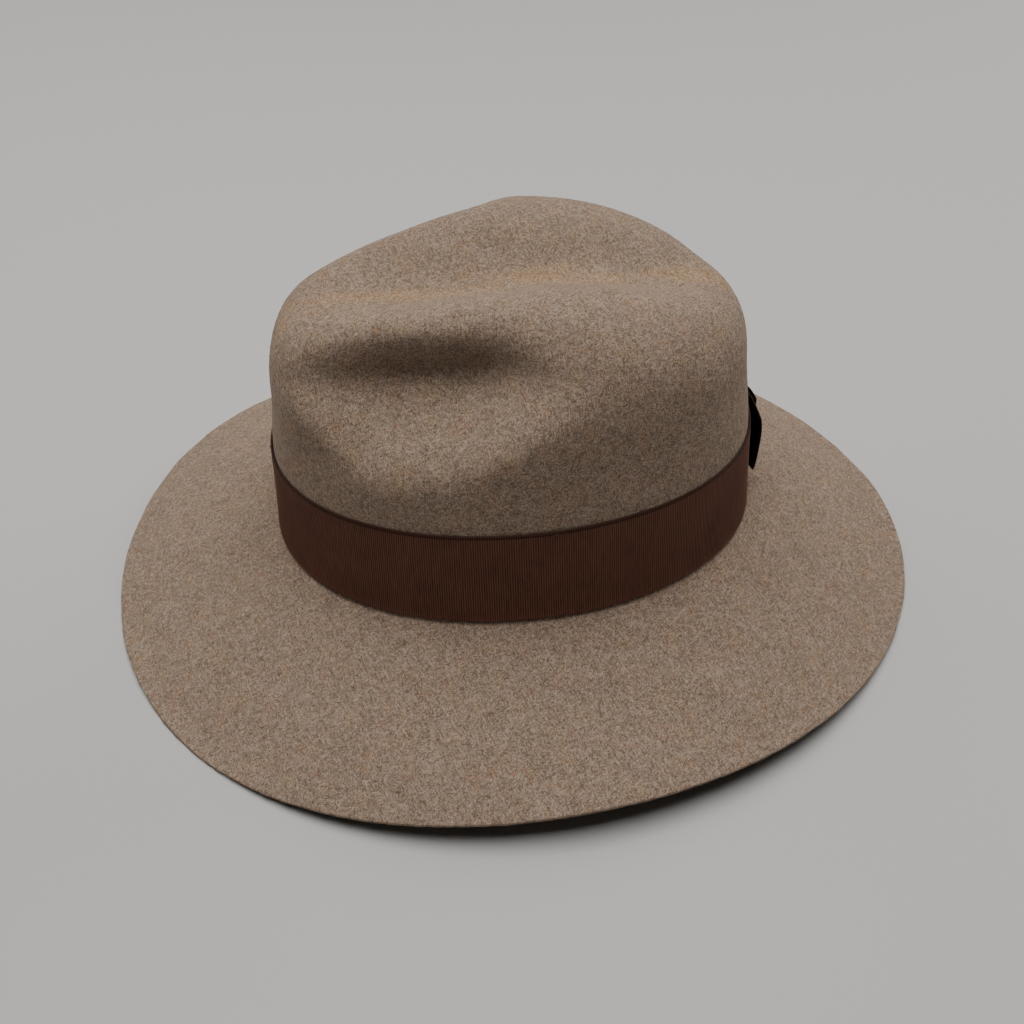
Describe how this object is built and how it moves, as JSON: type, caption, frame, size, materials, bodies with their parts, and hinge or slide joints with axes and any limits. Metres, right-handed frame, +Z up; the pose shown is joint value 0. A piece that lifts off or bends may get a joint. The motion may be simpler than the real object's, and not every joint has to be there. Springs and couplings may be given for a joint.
{
  "type": "fedora hat",
  "caption": "Soft felt fedora: creased and pinched crown, wide raw-edged brim resting flat on a surface, ribbon band with a flat bow at the back, a little to the wearer's right, and a sweatband inside.",
  "frame": {"origin": "centre of the bounding box, on the plane that the brim rests on", "axes": "+Z up out of the crown, -Y towards the hat's front, +X towards the wearer's left"},
  "size_m": [0.326, 0.3616, 0.1542],
  "materials": {
    "felt": "matte heather wool felt",
    "ribbon": "dark brown ribbed grosgrain with a low sheen",
    "bow": "dark brown ribbed grosgrain",
    "sweatband": "smooth thin leather",
    "tape": "woven tape",
    "reed": "matte",
    "thread": "twisted thread",
    "label": "satin tape, blank"
  },
  "bodies": {
    "root": {"felt_body": "felt", "hatband_ribbon": "ribbon", "bow_strip": "bow", "bow_loop": "bow", "bow_knot": "bow", "tack_stitch_front": "thread", "tack_stitch_left": "thread", "tack_stitch_right": "thread", "sweatband": "sweatband", "sweatband_reed": "reed", "reed_tape": "tape", "sweatband_stitching": "thread", "sweatband_bow": "ribbon", "size_label": "label"}
  },
  "joints": []
}
